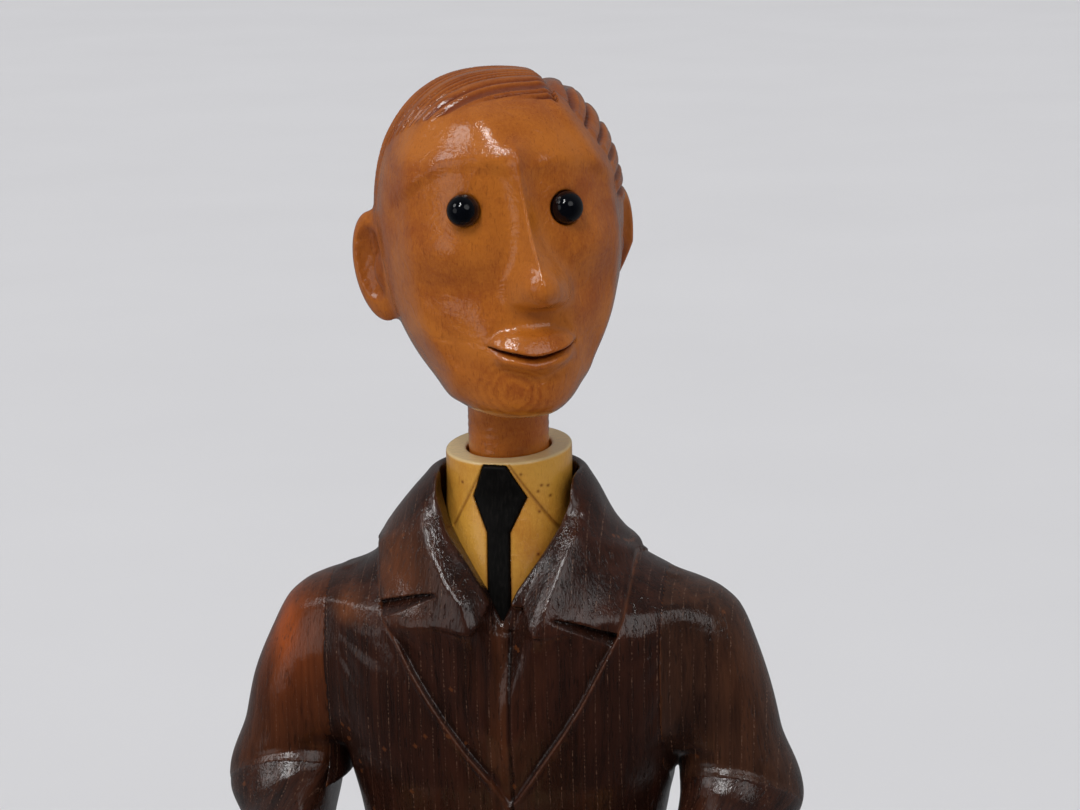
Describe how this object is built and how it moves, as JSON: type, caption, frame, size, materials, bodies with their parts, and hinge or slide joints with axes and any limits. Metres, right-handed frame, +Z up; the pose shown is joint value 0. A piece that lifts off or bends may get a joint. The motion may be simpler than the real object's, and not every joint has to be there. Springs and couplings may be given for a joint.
{
  "type": "carved wooden figurine",
  "caption": "Carved, lacquered wooden man in a suit and tie on a plinth, holding an open portable computer; his head turns and lifts out of the collar.",
  "frame": {"origin": "centre of the plinth's underside; the neck axis passes through it", "axes": "+Z up along the neck axis, the man faces -Y and his left side is +X"},
  "size_m": [0.0924, 0.1043, 0.249],
  "materials": {
    "skin_wood": "honey-brown carved wood under gloss lacquer",
    "shirt_wood": "pale close-grained wood under satin lacquer",
    "coat_wood": "dark open-pored wood under gloss lacquer",
    "trouser_wood": "dark open-pored wood under satin lacquer",
    "shoe_wood": "black stained wood under gloss lacquer",
    "plinth_wood": "walnut-brown wood under satin lacquer",
    "button_wood": "turned dark wood, lacquered",
    "dowel_wood": "bare beech dowel",
    "black_paint": "wood strip stained matt black",
    "eye_bead": "polished black bead",
    "screw_brass": "plain brass, slightly dulled",
    "computer_wood": "mid-brown board under satin lacquer",
    "key_wood": "pale wood cut into plain square keys",
    "screen_paint": "dark gloss enamel, blank"
  },
  "bodies": {
    "figure": {"base_plinth": "plinth_wood", "coat_body": "coat_wood", "shirt_collar": "shirt_wood", "tie": "black_paint", "top_button": "button_wood", "lower_button": "button_wood", "left_base_screw": "screw_brass", "right_base_screw": "screw_brass", "left_shoe": "shoe_wood", "right_shoe": "shoe_wood", "left_ankle_dowel": "dowel_wood", "right_ankle_dowel": "dowel_wood", "left_trouser_leg": "trouser_wood", "right_trouser_leg": "trouser_wood", "left_hip_dowel": "dowel_wood", "right_hip_dowel": "dowel_wood", "left_shoulder_dowel": "dowel_wood", "right_shoulder_dowel": "dowel_wood", "left_upper_sleeve": "coat_wood", "right_upper_sleeve": "coat_wood", "left_elbow_dowel": "dowel_wood", "right_elbow_dowel": "dowel_wood", "left_fore_sleeve": "coat_wood", "right_fore_sleeve": "coat_wood", "left_wrist_dowel": "dowel_wood", "right_wrist_dowel": "dowel_wood", "left_cuff": "shirt_wood", "right_cuff": "shirt_wood", "left_hand": "skin_wood", "right_hand": "skin_wood", "computer_base": "computer_wood", "computer_keys": "key_wood", "computer_lid": "computer_wood", "computer_screen": "screen_paint"},
    "peg": {"neck_peg": "dowel_wood"},
    "head": {"head": "skin_wood", "left_eye": "eye_bead", "right_eye": "eye_bead"}
  },
  "joints": [
    {"name": "head_lift", "type": "slide", "parent": "figure", "child": "peg", "axis": [0, 0, 1], "range_m": [0, 0.03]},
    {"name": "head_turn", "type": "hinge", "parent": "peg", "child": "head", "pos_m": [0, 0, 0.185], "axis": [0, 0, 1], "continuous": true}
  ]
}
